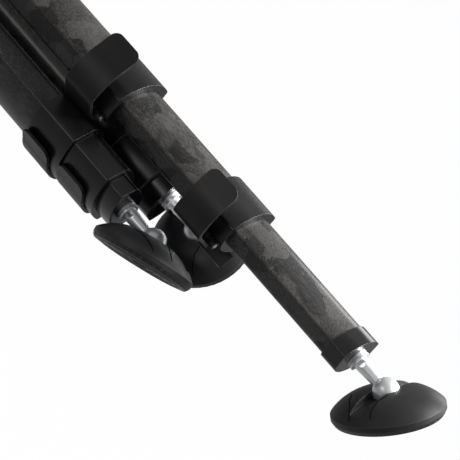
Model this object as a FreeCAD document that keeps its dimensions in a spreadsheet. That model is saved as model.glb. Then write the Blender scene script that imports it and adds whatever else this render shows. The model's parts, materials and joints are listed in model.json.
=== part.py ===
import FreeCAD, Part
import os
import re

import Sketcher
from FreeCAD import Placement, Rotation, Vector

# A folded video tripod with three two-stage legs of D-shaped tube, in millimetres. It lies as it is carried: +X runs
# along it from the head to the feet, leg A is on top (+Z), legs B and C are below it. The origin is the middle of the
# flat head face. A leg's pieces are drawn about that leg's centre line with every section pushed in and z pointing out
# of the bundle, and are then turned round X to their leg. Leg A is drawn out a little, legs B and C are shut.

SIZES = [
    # the D-shaped leg tubes: the outside of the lower tube, of which every other section is an offset
    ("crown_radius", 28.4, "outer face of the lower tube, as an arc"),
    ("inner_radius", 25.0, "inner face of the lower tube, as an arc"),
    ("half_depth", 9.8, "centre line to either face"),
    ("crown_half_width", 16.1, "centre line to an outer corner"),
    ("inner_half_width", 14.8, "centre line to an inner corner"),
    ("crown_corner", 1.5, "rounding of a tube's outer corner"),
    ("inner_corner", 4.2, "rounding of a tube's inner corner"),
    ("cover_crown_corner", 2.4, "rounding of a collar's outer corner"),
    ("cover_inner_corner", 7.0, "rounding of a collar's inner corner"),
    ("middle_step", 1.7, "middle tube outside the lower tube"),
    ("upper_step", 1.9, "upper tube outside the middle tube"),
    ("tube_wall", 1.1, "wall of each tube"),
    ("slide_gap", 0.15, "running gap of a guide bush"),
    ("guide_length", 40.0, "guide bush at a sliding tube's top end"),
    ("leg_radius", 24.0, "tripod axis to a leg's centre line"),
    # stations along X with every section pushed in
    ("upper_tube_start", 112.0, "upper tube's top end"),
    ("middle_tube_start", 135.0, "middle tube's top end"),
    ("lower_tube_start", 150.0, "lower tube's top end"),
    ("upper_rim", 590.0, "lower rim of the upper lock collar"),
    ("stack_gap", 0.3, "gap between stacked collars and cap"),
    ("middle_drawn", 68.6, "leg A: middle section drawn out"),
    ("lower_drawn", 79.9, "leg A: lower section drawn out"),
    # lock collars and their flip levers; stations count back from the collar's rim
    ("collar_height", 28.8, "height of a lock collar"),
    ("collar_wall", 2.95, "collar outside its tube"),
    ("neck_length", 12.0, "part of a collar below its tube"),
    ("neck_gap", 0.2, "neck outside the sliding tube"),
    ("upper_pin_out", 0.65, "upper lever pin outside the collar's corner"),
    ("upper_pin_below", 0.6, "upper lever pin below that corner"),
    ("lower_pin_out", -0.55, "lower lever pin outside the collar's corner"),
    ("lower_pin_below", 1.7, "lower lever pin below that corner"),
    ("lever_pin_radius", 1.4, "lever pin"),
    ("pin_gap", 0.05, "running gap of a pin"),
    ("pin_proud", 0.4, "pin outside the lower ear"),
    ("ear_radius", 2.5, "hinge ear"),
    ("ear_foot", 3.0, "rim to the lower ear"),
    ("ear_end", 8.7, "rim to the lower ear's upper side"),
    ("ear_top", 25.8, "rim to the upper ear"),
    ("knuckle_radius", 3.3, "lever knuckle"),
    ("knuckle_gap", 0.2, "room round the knuckle"),
    ("knuckle_side_gap", 0.3, "room beside the knuckle"),
    ("lever_width", 22.0, "lever along the leg, from the collar's top"),
    ("lever_thick", 1.8, "lever plate"),
    ("lever_stand", 2.8, "pin to the plate"),
    ("lever_gap", 0.35, "shut lever off the collar's outer face"),
    ("upper_tail", 2.6, "upper lever: plate behind the pin"),
    ("lower_tail", 3.6, "lower lever: plate behind the pin"),
    ("lever_bend", 6.0, "lever's rounded bend"),
    ("lever_pad_corner", 5.0, "rounded corners of a finger pad"),
    ("upper_pad_side", 1.5, "upper lever: pad's root, from the leg's middle"),
    ("upper_pad_length", 11.0, "upper lever: pad"),
    ("upper_pad_lift", 1.6, "upper lever: pad's lift at its tip"),
    ("lower_pad_side", 1.0, "lower lever: pad's root, from the leg's middle"),
    ("lower_pad_length", 10.0, "lower lever: pad"),
    ("lower_pad_lift", 0.6, "lower lever: pad's lift at its tip"),
    # end cap and ball pin; the pin counts from the cap
    ("cap_wall", 1.26, "wall of the end cap"),
    ("cap_height", 11.4, "height of the end cap"),
    ("cap_floor", 3.0, "closed end of the cap"),
    ("shank_radius", 3.0, "pin shank in the cap"),
    ("shank_head_radius", 5.0, "its head inside the tube"),
    ("shank_head_height", 3.5, "height of that head"),
    ("flange_gap", 0.1, "between the pin and the cap"),
    ("flange_radius", 6.25, "each ring of the pin"),
    ("flange_height", 1.4, "height of a ring"),
    ("flange_groove", 0.7, "groove between the rings"),
    ("groove_radius", 5.3, "bottom of that groove"),
    ("shaft_radius", 4.35, "shaft below the rings"),
    ("shaft_end_radius", 3.4, "shaft at the ball"),
    ("cross_hole_radius", 2.05, "hole through the shaft"),
    ("cross_hole_place", 5.6, "cap to that hole"),
    ("pin_reach", 24.5, "cap to ball centre"),
    ("ball_radius", 7.5, "ball"),
    # foot; stations count from the ball centre to the sole
    ("ball_gap", 0.05, "running gap of the ball"),
    ("lip_height", 1.2, "socket and dome above the ball centre"),
    ("lip_radius", 8.2, "outside of the socket's lip"),
    ("socket_start", 0.6, "where the socket widens"),
    ("socket_radius", 10.5, "outside of the hard socket"),
    ("socket_end", 11.0, "bottom of the socket"),
    ("dome_radius", 29.5, "dome of the foot, as an arc"),
    ("foot_radius", 31.0, "foot's widest ring"),
    ("ring_start", 9.2, "upper edge of that ring"),
    ("ring_end", 11.9, "its lower edge"),
    ("sole_radius", 29.4, "sole"),
    ("sole_drop", 14.4, "ball centre to the sole"),
    ("channel_half_width", 4.95, "channel that the shaft folds into, half"),
    ("channel_start", 7.0, "channel's floor at the ball: distance"),
    ("channel_start_drop", 2.4, "channel's floor at the ball: drop"),
    ("channel_bend", 14.0, "where its floor steepens: distance"),
    ("channel_bend_drop", 3.0, "where its floor steepens: drop"),
    ("channel_reach", 26.5, "channel's end: distance"),
    ("channel_end_drop", 5.2, "channel's end: drop"),
    ("channel_clear", 6.0, "height that is cleared above the ball centre"),
    # leg hinge and the casting at a leg's top
    ("hinge_station", 58.0, "leg hinge along X"),
    ("hinge_rise", 18.0, "leg hinge outside the leg's centre line"),
    ("barrel_radius", 10.0, "hinge barrel"),
    ("barrel_half_width", 11.0, "half its width"),
    ("hinge_side_gap", 0.3, "between the barrel and an ear"),
    ("hinge_bolt_radius", 4.0, "hinge bolt"),
    ("hinge_head_radius", 7.0, "its head and nut"),
    ("hinge_head_height", 3.5, "their height"),
    ("arm_straight", 20.0, "arm's inner side runs straight from the hinge"),
    ("arm_top_run", 40.0, "arm's outer side runs straight from the hinge"),
    ("sleeve_wall", 2.6, "sleeve outside the upper tube"),
    ("sleeve_web", 8.0, "closed end of the sleeve"),
    ("sleeve_depth", 40.0, "how far the tube goes in"),
    # angle catch; u runs along it from its nose to its finger end, w away from the leg hinge
    ("catch_bearing", 75.0, "where the nose meets the ears, up from +X"),
    ("catch_gap", 0.3, "nose above the ears"),
    ("catch_nose_half", 1.3, "half the nose's thickness"),
    ("catch_nose_height", 4.1, "nose's height"),
    ("catch_nose_cover", 7.1, "nose past the slot, over each ear"),
    ("catch_lift", 0.3, "plate above the nose's tip"),
    ("catch_thick", 2.8, "plate"),
    ("catch_reach", 24.0, "nose to pivot"),
    ("catch_tail", 16.0, "pivot to finger end"),
    ("catch_tail_rise", 1.6, "lift of the finger end"),
    ("catch_half_width", 7.5, "half the plate's width"),
    ("catch_hub_radius", 3.0, "hub at the pivot"),
    ("trunnion_radius", 1.5, "trunnion in each lug"),
    ("lug_gap", 0.3, "between the catch and a lug"),
    ("lug_wall", 2.8, "each lug"),
    ("lug_radius", 3.5, "lug round the trunnion"),
    ("lug_root", 8.0, "trunnion to the lug's root"),
    ("detent_radius", 2.8, "notch in an ear"),
    # apex casting with the bowl
    ("bowl_centre", 12.0, "centre of the half ball"),
    ("half_ball_radius", 37.5, "levelling half ball"),
    ("bowl_gap", 0.1, "running gap of the half ball"),
    ("bowl_wall", 5.4, "wall of the bowl's bottom"),
    ("bowl_rim", 14.0, "rim of the bowl"),
    ("bowl_outer_radius", 49.0, "outside of the bowl"),
    ("bowl_band_end", 26.0, "end of its straight side"),
    ("bowl_shoulder", 40.0, "radius and station where the bowl turns under"),
    ("under_edge", 30.0, "edge of the spherical underside"),
    ("bowl_opening", 14.0, "opening for the tie-down stem"),
    ("apex_ear_radius", 13.0, "ear round the hinge"),
    ("apex_ear_wall", 8.0, "each ear"),
    ("web_inner", 34.5, "inner edge of an ear's web, from the axis"),
    ("web_outer", 44.5, "its outer edge, from the axis"),
    ("level_radius", 7.0, "bubble level"),
    ("level_height", 5.0, "its height"),
    ("level_proud", 1.0, "how far it stands out"),
    ("level_place", 47.0, "its distance from the axis"),
    ("level_bearing", 60.0, "its bearing from leg A"),
    ("level_boss_wall", 2.2, "boss round it"),
    ("level_boss_height", 14.0, "height of that boss"),
    # half ball, head stud and tie-down
    ("plate_radius", 30.0, "flat head plate"),
    ("plate_height", 4.0, "its height"),
    ("half_ball_wall", 5.0, "wall of the half ball"),
    ("half_ball_end", 40.0, "where it is cut off"),
    ("half_ball_floor", 9.0, "thickness under the head plate"),
    ("hub_radius", 9.0, "hub for stud and stem"),
    ("stud_radius", 4.7625, "3/8 inch head stud"),
    ("stud_root_radius", 3.9, "its root inside the plate"),
    ("stud_length", 12.0, "stud above the head plate"),
    ("stud_seat", 8.0, "stud inside the plate"),
    ("stud_relief", 0.6, "countersink round it in the head plate"),
    ("stud_chamfer", 0.8, "its chamfered tip"),
    ("stem_radius", 4.0, "tie-down stem"),
    ("stem_start", 24.0, "its end inside the hub"),
    ("stem_tail", 4.0, "stem beyond the knob"),
    ("cup_gap", 0.2, "between the bowl and the cup"),
    ("cup_radius", 23.0, "tie-down cup"),
    ("cup_edge", 3.2, "its thickness at the edge"),
    ("knob_neck", 5.7, "from the cup's edge to the knob's full radius"),
    ("knob_length", 22.5, "the knob from there to its free end"),
    ("knob_radius", 13.0, "its radius"),
    ("flute_radius", 4.2, "a finger flute"),
    ("flute_depth", 1.8, "how deep it cuts"),
    # how the feet and their pins stand in the rest position
    ("foot_tilt_a", 46.0, "leg A: sole tipped in (+) from square to the leg"),
    ("foot_tilt_b", -72.0, "leg B: sole tipped out"),
    ("foot_tilt_c", -72.0, "leg C: sole tipped out"),
    ("foot_lean_a", 10.6, "leg A: bearing of that tilt, round the leg"),
    ("foot_lean_b", 28.0, "leg B: bearing of that tilt"),
    ("foot_lean_c", -9.0, "leg C: bearing of that tilt"),
    ("foot_spin_a", 90.0, "leg A: foot turned round its own axis"),
    ("foot_spin_b", 0.0, "leg B: the same"),
    ("foot_spin_c", 0.0, "leg C: the same"),
    ("pin_turn_a", -31.7, "leg A: cross hole, turned round the leg"),
    ("pin_turn_b", 28.0, "leg B: cross hole"),
    ("pin_turn_c", -9.0, "leg C: cross hole"),
    # how far the levers stand open in the rest position
    ("upper_open_a", 40.0, "leg A: upper lever"),
    ("upper_open_b", 0.0, "leg B: upper lever"),
    ("upper_open_c", 0.0, "leg C: upper lever"),
    ("lower_open_a", 57.0, "leg A: lower lever"),
    ("lower_open_b", 0.0, "leg B: lower lever"),
    ("lower_open_c", 0.0, "leg C: lower lever"),
]
NAMES = {name for name, _, _ in SIZES}
LEGS = {"a": 0, "b": 120, "c": 240}
STANCES = [0, 24, 46, 66]
FLUTES = 6
LONG = Rotation(Vector(0, 1, 0), 90)
ACROSS = Rotation(Vector(1, 0, 0), -90)

UPPER_TUBE = "(middle_step + upper_step)"
MIDDLE_TUBE = "middle_step"
LOWER_TUBE = "0"
LOWER_RIM = "(upper_rim + stack_gap + collar_height)"
CAP_START = f"({LOWER_RIM} + stack_gap)"
CAP_END = f"({CAP_START} + cap_height)"

doc = FreeCAD.newDocument("Tripod")
sheet = doc.addObject("Spreadsheet::Sheet", "Sizes")
for row, (name, number, note) in enumerate(SIZES, 1):
    sheet.set(f"A{row}", name)
    sheet.set(f"B{row}", str(number))
    sheet.set(f"C{row}", note)
    sheet.setAlias(f"B{row}", name)
doc.recompute()
pieces = []


def value(sum_text):
    return float(sheet.evalExpression(sum_text))


def bound(sum_text):
    """The same sum, with each size read from the sheet."""
    return re.sub(r"[a-z_]+", lambda m: f"Sizes.{m[0]}" if m[0] in NAMES else m[0], sum_text)


def bind(thing, prop, sum_text):
    thing.setExpression(prop, bound(sum_text))


def new_body(label):
    body = doc.addObject("PartDesign::Body", label)
    body.Label = label
    pieces.append(body)
    return body


def origin_part(body, role):
    return next(part for part in body.Origin.OriginFeatures if part.Role == role)


def arc_between(start, end, radius, turn):
    """The short arc from start to end; turn is 1 for a left-hand path, -1 for a right-hand one."""
    half = (end - start) * 0.5
    height = (radius**2 - half.Length**2) ** 0.5
    centre = start + half + Vector(-half.y, half.x, 0).normalize() * height * turn
    first, last = (start, end) if turn > 0 else (end, start)
    angles = [((p - centre).y, (p - centre).x) for p in (first, last)]
    circle = Part.Circle(centre, Vector(0, 0, 1), radius)
    return Part.ArcOfCircle(circle, *[FreeCAD.Vector(x, y, 0).getAngle(Vector(1, 0, 0)) * (1 if y >= 0 else -1)
                                      for y, x in angles])


def outline(body, name, plane, points, arcs=None, at="0"):
    """A closed sketch through points given as sums of sizes; arcs maps a side to its (radius, turn)."""
    arcs = arcs or {}
    sketch = body.newObject("Sketcher::SketchObject", name)
    sketch.AttachmentSupport = [(origin_part(body, plane), "")]
    sketch.MapMode = "FlatFace"
    bind(sketch, "AttachmentOffset.Base.z", at)
    spots = [Vector(value(u), value(v), 0) for u, v in points]
    ends = []
    for side, start in enumerate(spots):
        end = spots[(side + 1) % len(spots)]
        if side in arcs:
            radius, turn = arcs[side]
            sketch.addGeometry(arc_between(start, end, value(radius), turn))
            ends.append((side, 1, 2) if turn > 0 else (side, 2, 1))
        else:
            sketch.addGeometry(Part.LineSegment(start, end))
            ends.append((side, 1, 2))
    for (side, _, last), (following, first, _) in zip(ends, ends[1:] + ends[:1]):
        sketch.addConstraint(Sketcher.Constraint("Coincident", side, last, following, first))
    for (side, first, _), spot, (u, v) in zip(ends, spots, points):
        fix(sketch, side, first, "DistanceX", f"u{side}", u, spot.x, -2)
        fix(sketch, side, first, "DistanceY", f"v{side}", v, spot.y, -1)
    for side, (radius, _) in arcs.items():
        drive(sketch, Sketcher.Constraint("Radius", side, value(radius)), f"r{side}", radius)
    return sketch


def fix(sketch, side, point, kind, name, sum_text, number, axis):
    """Holds one coordinate of a corner, on the axis where the sum is nought."""
    if sum_text == "0":
        sketch.addConstraint(Sketcher.Constraint("PointOnObject", side, point, axis))
    else:
        drive(sketch, Sketcher.Constraint(kind, -1, 1, side, point, number), name, sum_text)


def drive(sketch, constraint, name, sum_text):
    sketch.renameConstraint(sketch.addConstraint(constraint), name)
    bind(sketch, f"Constraints.{name}", sum_text)


def swept(body, kind, name, sketch, length, both=False):
    """A Pad or Pocket from the sketch towards its normal, or to both sides."""
    feature = body.newObject(f"PartDesign::{kind}", name)
    feature.Profile = sketch
    feature.SideType = "Symmetric" if both else "One side"
    feature.Reversed = kind == "Pocket" and not both
    bind(feature, "Length", length)
    return feature


def turned(body, name, points, arcs=None):
    """A full revolution round X of an outline given as (station, radius)."""
    sketch = outline(body, name + "Outline", "XY_Plane", points, arcs)
    feature = body.newObject("PartDesign::Revolution", name)
    feature.Profile = sketch
    feature.ReferenceAxis = (sketch, ["H_Axis"])
    return feature


def cylinder(body, kind, name, rotation, radius, start, length):
    """An Additive or Subtractive cylinder from start, along X (LONG) or Y (ACROSS)."""
    feature = body.newObject(f"PartDesign::{kind}Cylinder", name)
    feature.Placement = Placement(Vector(), rotation)
    bind(feature, "Radius", radius)
    bind(feature, "Height", length)
    for axis, sum_text in zip("xyz", start):
        bind(feature, f"Placement.Base.{axis}", sum_text)
    return feature


def across(body, kind, name, radius, station, rise, half_width):
    """A cylinder along Y, centred on the leg's middle plane."""
    return cylinder(body, kind, name, ACROSS, radius, (station, f"-({half_width})", rise), f"2 * ({half_width})")


def plate(body, kind, name, points, half_width):
    """A plate centred on the leg's middle plane, from points given as (station, rise)."""
    sketch = outline(body, name + "Outline", "XZ_Plane", points)
    return swept(body, kind, name, sketch, f"2 * ({half_width})", both=True)


def side_plates(body, name, points, inside, wall):
    """The same plate on both sides of the middle plane, from inside to inside + wall."""
    made = []
    for sign in ("", "-"):
        sketch = outline(body, f"{name}Outline", "XZ_Plane", points, at=f"{sign}({inside} + {wall} / 2)")
        made.append(swept(body, "Pad", name, sketch, wall, both=True))
    return made


def round_edges(body, name, radius, wanted):
    doc.recompute()
    base = body.Tip
    feature = body.newObject("PartDesign::Fillet", name)
    feature.Base = (base, [f"Edge{i}" for i, edge in enumerate(base.Shape.Edges, 1) if wanted(edge)])
    bind(feature, "Radius", radius)


def lengthwise_at(spots):
    """Picks the edges along X that pass through one of the spots, given as (y, z) sums."""
    places = [(value(y), value(z)) for y, z in spots]

    def wanted(edge):
        start, end = edge.Vertexes[0].Point, edge.Vertexes[-1].Point
        if abs((end - start).y) + abs((end - start).z) > 0.001 or abs((end - start).x) < 0.001:
            return False
        return any(abs(start.y - y) + abs(start.z - z) < 0.01 for y, z in places)

    return wanted


def section_low(out):
    return f"inner_radius - half_depth - sqrt((inner_radius + {out})^2 - (inner_half_width + {out})^2)"


def section(body, kind, name, out, start, length, corners=("crown_corner", "inner_corner")):
    """A length of the D section, as far outside the lower tube as out says, with rounded corners."""
    crown, inner = f"(crown_half_width + {out})", f"(inner_half_width + {out})"
    top = f"half_depth - crown_radius + sqrt((crown_radius + {out})^2 - {crown}^2)"
    low = section_low(out)
    points = [(crown, top), (f"-{crown}", top), (f"-{inner}", low), (inner, low)]
    arcs = {0: (f"crown_radius + {out}", 1), 2: (f"inner_radius + {out}", 1)}
    sketch = outline(body, name + "Outline", "YZ_Plane", points, arcs, at=start)
    swept(body, kind, name, sketch, length)
    round_edges(body, name + "Crown", corners[0], lengthwise_at(points[:2]))
    round_edges(body, name + "Inner", corners[1], lengthwise_at(points[2:]))


def tube(label, out, start, end):
    body = new_body(label)
    section(body, "Pad", "Tube", out, start, f"{end} - {start}")
    section(body, "Pocket", "Bore", f"({out} - tube_wall)", start, f"{end} - {start}")
    return body


def guide(label, out, step, start):
    """A bush round the top end of a sliding tube, filling the space to the tube outside it."""
    body = new_body(label)
    section(body, "Pad", "Bush", f"({out} + {step} - tube_wall - slide_gap)", start, "guide_length")
    section(body, "Pocket", "Bore", out, start, "guide_length")
    return body


def pin_spot(tube_out, lock):
    """Place of a lever pin, beside and below the collar's inner corner, as (side, rise)."""
    out = f"({tube_out} + collar_wall)"
    side = f"(inner_half_width + {out} + {lock}_pin_out)"
    return side, f"({section_low(out)} - {lock}_pin_below)"


def collar(label, tube_out, inner_out, rim, lock):
    body = new_body(label)
    side, rise = pin_spot(tube_out, lock)
    section(body, "Pad", "Collar", f"({tube_out} + collar_wall)", f"{rim} - collar_height", "collar_height",
            ("cover_crown_corner", "cover_inner_corner"))
    lower_ear = (f"{rim} - ear_end", f"-{side}", rise)
    upper_ear = (f"{rim} - collar_height", f"-{side}", rise)
    cylinder(body, "Additive", "LowerEar", LONG, "ear_radius", lower_ear, "ear_end - ear_foot")
    cylinder(body, "Additive", "UpperEar", LONG, "ear_radius", upper_ear, "collar_height - ear_top")
    section(body, "Pocket", "Grip", tube_out, f"{rim} - collar_height", "collar_height - neck_length")
    section(body, "Pocket", "Neck", f"({inner_out} + neck_gap)", f"{rim} - neck_length", "neck_length")
    room = (f"{rim} - ear_top", f"-{side}", rise)
    cylinder(body, "Subtractive", "Room", LONG, "knuckle_radius + knuckle_gap", room, "ear_top - ear_end")
    cylinder(body, "Subtractive", "PinHole", LONG, "lever_pin_radius + pin_gap", upper_ear, "collar_height")
    return body


def lock_pin(label, tube_out, rim, lock):
    body = new_body(label)
    side, rise = pin_spot(tube_out, lock)
    start = (f"{rim} - collar_height", f"-{side}", rise)
    cylinder(body, "Additive", "Pin", LONG, "lever_pin_radius", start, "collar_height - ear_foot + pin_proud")
    return body


def lever_plate(tube_out, lock):
    """Outer and inner corners of a shut lever's bent plate, seen along the leg, and the arcs over the crown."""
    side, rise = pin_spot(tube_out, lock)
    faces, arcs = [], []
    for thick in ("lever_thick", "0"):
        reach = f"(crown_radius + {tube_out} + collar_wall + lever_gap + {thick})"
        foot = f"({side} + lever_stand + {thick})"
        bend = f"(half_depth - crown_radius + sqrt({reach}^2 - {foot}^2))"
        pad = f"(half_depth - crown_radius + sqrt({reach}^2 - {lock}_pad_side^2))"
        faces.append([(f"-{foot}", f"({rise} - {lock}_tail)"), (f"-{foot}", bend), (f"-{lock}_pad_side", pad),
                      (f"{lock}_pad_length - {lock}_pad_side", f"{pad} + {lock}_pad_lift")])
        arcs.append(reach)
    return faces, arcs


def lever(label, tube_out, rim, lock):
    body = new_body(label)
    side, rise = pin_spot(tube_out, lock)
    (outer, inner), (over, under) = lever_plate(tube_out, lock)
    sketch = outline(body, "PlateOutline", "YZ_Plane", outer + inner[::-1], {1: (over, -1), 5: (under, 1)},
                     f"{rim} - collar_height")
    swept(body, "Pad", "Plate", sketch, "lever_width")
    round_edges(body, "Bend", "lever_bend", lengthwise_at(outer[1:2]))
    round_edges(body, "BendInside", "lever_bend - lever_thick", lengthwise_at(inner[1:2]))
    tip = value(outer[3][0])
    round_edges(body, "PadCorners", "lever_pad_corner",
                lambda edge: all(abs(v.Point.y - tip) < 0.01 for v in edge.Vertexes)
                and abs(edge.Vertexes[0].Point.x - edge.Vertexes[-1].Point.x) < 0.001)
    start = (f"{rim} - ear_top + knuckle_side_gap", f"-{side}", rise)
    cylinder(body, "Additive", "Knuckle", LONG, "knuckle_radius", start, "ear_top - ear_end - 2 * knuckle_side_gap")
    cylinder(body, "Subtractive", "PinHole", LONG, "lever_pin_radius + pin_gap", start, "ear_top - ear_end")
    return body


def end_cap(label):
    body = new_body(label)
    section(body, "Pad", "Cap", "cap_wall", CAP_START, "cap_height")
    section(body, "Pocket", "Bore", LOWER_TUBE, CAP_START, "cap_height - cap_floor")
    start = (f"{CAP_END} - cap_floor", "0", "0")
    cylinder(body, "Subtractive", "ShankHole", LONG, "shank_radius + pin_gap", start, "cap_floor")
    return body


def ball_pin(label):
    body = new_body(label)
    head_end = f"(0 - cap_floor - flange_gap)"
    head_start = f"({head_end} - shank_head_height)"
    first_end = "(flange_gap + flange_height)"
    second_start = f"({first_end} + flange_groove)"
    second_end = f"({second_start} + flange_height)"
    shaft_end = "(pin_reach - sqrt(ball_radius^2 - shaft_end_radius^2))"
    points = [(head_start, "0"), (head_start, "shank_head_radius"), (head_end, "shank_head_radius"),
              (head_end, "shank_radius"), ("flange_gap", "shank_radius"), ("flange_gap", "flange_radius"),
              (first_end, "flange_radius"), (first_end, "groove_radius"), (second_start, "groove_radius"),
              (second_start, "flange_radius"), (second_end, "flange_radius"), (second_end, "shaft_radius"),
              (shaft_end, "shaft_end_radius"), ("pin_reach + ball_radius", "0")]
    turned(body, "Pin", points, {12: ("ball_radius", -1)})
    across(body, "Subtractive", "CrossHole", "cross_hole_radius", "cross_hole_place", "0", "shaft_radius")
    return body


def channel(body):
    """The channel across the dome that the pin's shaft folds into."""
    half = [("channel_end_drop", "channel_reach"), ("channel_bend_drop", "channel_bend"),
            ("channel_start_drop", "channel_start")]
    points = [("-channel_clear", "channel_reach")] + half
    points += [(u, f"-{v}") for u, v in half[::-1]] + [("-channel_clear", "-channel_reach")]
    plate(body, "Pocket", "Channel", points, "channel_half_width")


def foot_socket(label):
    body = new_body(label)
    bore = "(ball_radius + ball_gap)"
    points = [("-lip_height", "lip_radius"), ("socket_start", "lip_radius"), ("socket_start", "socket_radius"),
              ("socket_end", "socket_radius"), ("socket_end", "0"), (bore, "0"),
              ("-lip_height", f"sqrt({bore}^2 - lip_height^2)")]
    turned(body, "Socket", points, {5: (bore, 1)})
    channel(body)
    return body


def foot_pad(label):
    body = new_body(label)
    points = [("-lip_height", "lip_radius"), ("ring_start", "foot_radius"), ("ring_end", "foot_radius"),
              ("sole_drop", "sole_radius"), ("sole_drop", "0"), ("socket_end", "0"),
              ("socket_end", "socket_radius"), ("socket_start", "socket_radius"), ("socket_start", "lip_radius")]
    turned(body, "Pad", points, {0: ("dome_radius", -1)})
    channel(body)
    return body


def catch_spot(along, away):
    """A point of the angle catch, along it from its nose and away from the hinge, as (station, rise)."""
    return (f"hinge_station + ({along}) * sin(catch_bearing) + ({away}) * cos(catch_bearing)",
            f"hinge_rise - ({along}) * cos(catch_bearing) + ({away}) * sin(catch_bearing)")


NOSE_TIP = "(apex_ear_radius + catch_gap)"
PIVOT = catch_spot("catch_reach", NOSE_TIP)


def leg_top(label):
    body = new_body(label)
    out = f"({UPPER_TUBE} + sleeve_wall)"
    sleeve_start = "(upper_tube_start - sleeve_web)"
    across(body, "Additive", "Barrel", "barrel_radius", "hinge_station", "hinge_rise", "barrel_half_width")
    depth = f"(half_depth + {out} - sleeve_wall)"
    points = [("hinge_station", "hinge_rise - barrel_radius"),
              ("hinge_station + arm_straight", "hinge_rise - barrel_radius"),
              (f"{sleeve_start} + sleeve_web / 2", f"-{depth}"), (f"{sleeve_start} + sleeve_web / 2", depth),
              catch_spot("arm_top_run", "barrel_radius"), catch_spot("0", "barrel_radius")]
    plate(body, "Pad", "Arm", points, "barrel_half_width")
    section(body, "Pad", "Sleeve", out, sleeve_start, "sleeve_web + sleeve_depth",
            ("cover_crown_corner", "cover_inner_corner"))
    x, z = PIVOT
    lug = [(f"{x} - lug_radius", z), (f"{x} - lug_radius", f"{z} - lug_root"),
           (f"{x} + lug_radius", f"{z} - lug_root"), (f"{x} + lug_radius", z)]
    inside = "(catch_half_width + lug_gap)"
    side_plates(body, "Lug", lug, inside, "lug_wall")
    for sign, y in (("Left", f"-{inside} - lug_wall"), ("Right", inside)):
        cylinder(body, "Additive", f"{sign}LugEnd", ACROSS, "lug_radius", (x, y, z), "lug_wall")
    section(body, "Pocket", "Socket", UPPER_TUBE, "upper_tube_start", "sleeve_depth")
    across(body, "Subtractive", "BoltHole", "hinge_bolt_radius + pin_gap", "hinge_station", "hinge_rise",
           "barrel_half_width")
    across(body, "Subtractive", "TrunnionHole", "trunnion_radius + pin_gap", x, z, f"{inside} + lug_wall")
    return body


def angle_catch(label):
    body = new_body(label)
    x, z = PIVOT
    low, high = f"({NOSE_TIP} + catch_lift)", f"({NOSE_TIP} + catch_lift + catch_thick)"
    plate_points = [catch_spot("-catch_nose_half", low), catch_spot("catch_reach", low),
                    catch_spot("catch_reach + catch_tail", f"{low} + catch_tail_rise"),
                    catch_spot("catch_reach + catch_tail", f"{high} + catch_tail_rise"),
                    catch_spot("catch_reach", high), catch_spot("-catch_nose_half", high)]
    plate(body, "Pad", "Plate", plate_points, "catch_half_width")
    nose = [catch_spot("-catch_nose_half", NOSE_TIP), catch_spot("catch_nose_half", NOSE_TIP),
            catch_spot("catch_nose_half", f"{NOSE_TIP} + catch_nose_height"),
            catch_spot("-catch_nose_half", f"{NOSE_TIP} + catch_nose_height")]
    plate(body, "Pad", "Nose", nose, "barrel_half_width + hinge_side_gap + catch_nose_cover")
    across(body, "Additive", "Hub", "catch_hub_radius", x, z, "catch_half_width")
    across(body, "Additive", "Trunnions", "trunnion_radius", x, z, "catch_half_width + lug_gap + lug_wall")
    return body


def hinge_bolt(label):
    body = new_body(label)
    outside = "(barrel_half_width + hinge_side_gap + apex_ear_wall)"
    across(body, "Additive", "Bolt", "hinge_bolt_radius", "hinge_station", "hinge_rise",
           f"{outside} + hinge_head_height")
    for name, start in (("Head", outside), ("Nut", f"-{outside} - hinge_head_height")):
        cylinder(body, "Additive", name, ACROSS, "hinge_head_radius", ("hinge_station", start, "hinge_rise"),
                 "hinge_head_height")
    return body


def apex_casting():
    body = new_body("apex_casting")
    seat, under = "(half_ball_radius + bowl_gap)", "(half_ball_radius + bowl_gap + bowl_wall)"
    points = [("bowl_rim", f"sqrt({seat}^2 - (bowl_rim - bowl_centre)^2)"), ("bowl_rim", "bowl_outer_radius"),
              ("bowl_band_end", "bowl_outer_radius"), ("bowl_shoulder", "bowl_shoulder"),
              (f"bowl_centre + sqrt({under}^2 - under_edge^2)", "under_edge"),
              (f"bowl_centre + sqrt({under}^2 - bowl_opening^2)", "bowl_opening"),
              (f"bowl_centre + sqrt({seat}^2 - bowl_opening^2)", "bowl_opening")]
    turned(body, "Bowl", points, {4: (under, -1), 6: (seat, 1)})
    boss = ("bowl_rim", "-level_place * sin(level_bearing)", "level_place * cos(level_bearing)")
    cylinder(body, "Additive", "LevelBoss", LONG, "level_radius + level_boss_wall", boss, "level_boss_height")
    cylinder(body, "Subtractive", "LevelSeat", LONG, "level_radius", boss, "level_height - level_proud")
    for angle in LEGS.values():
        hinge_ears(body, angle)
    return body


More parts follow.
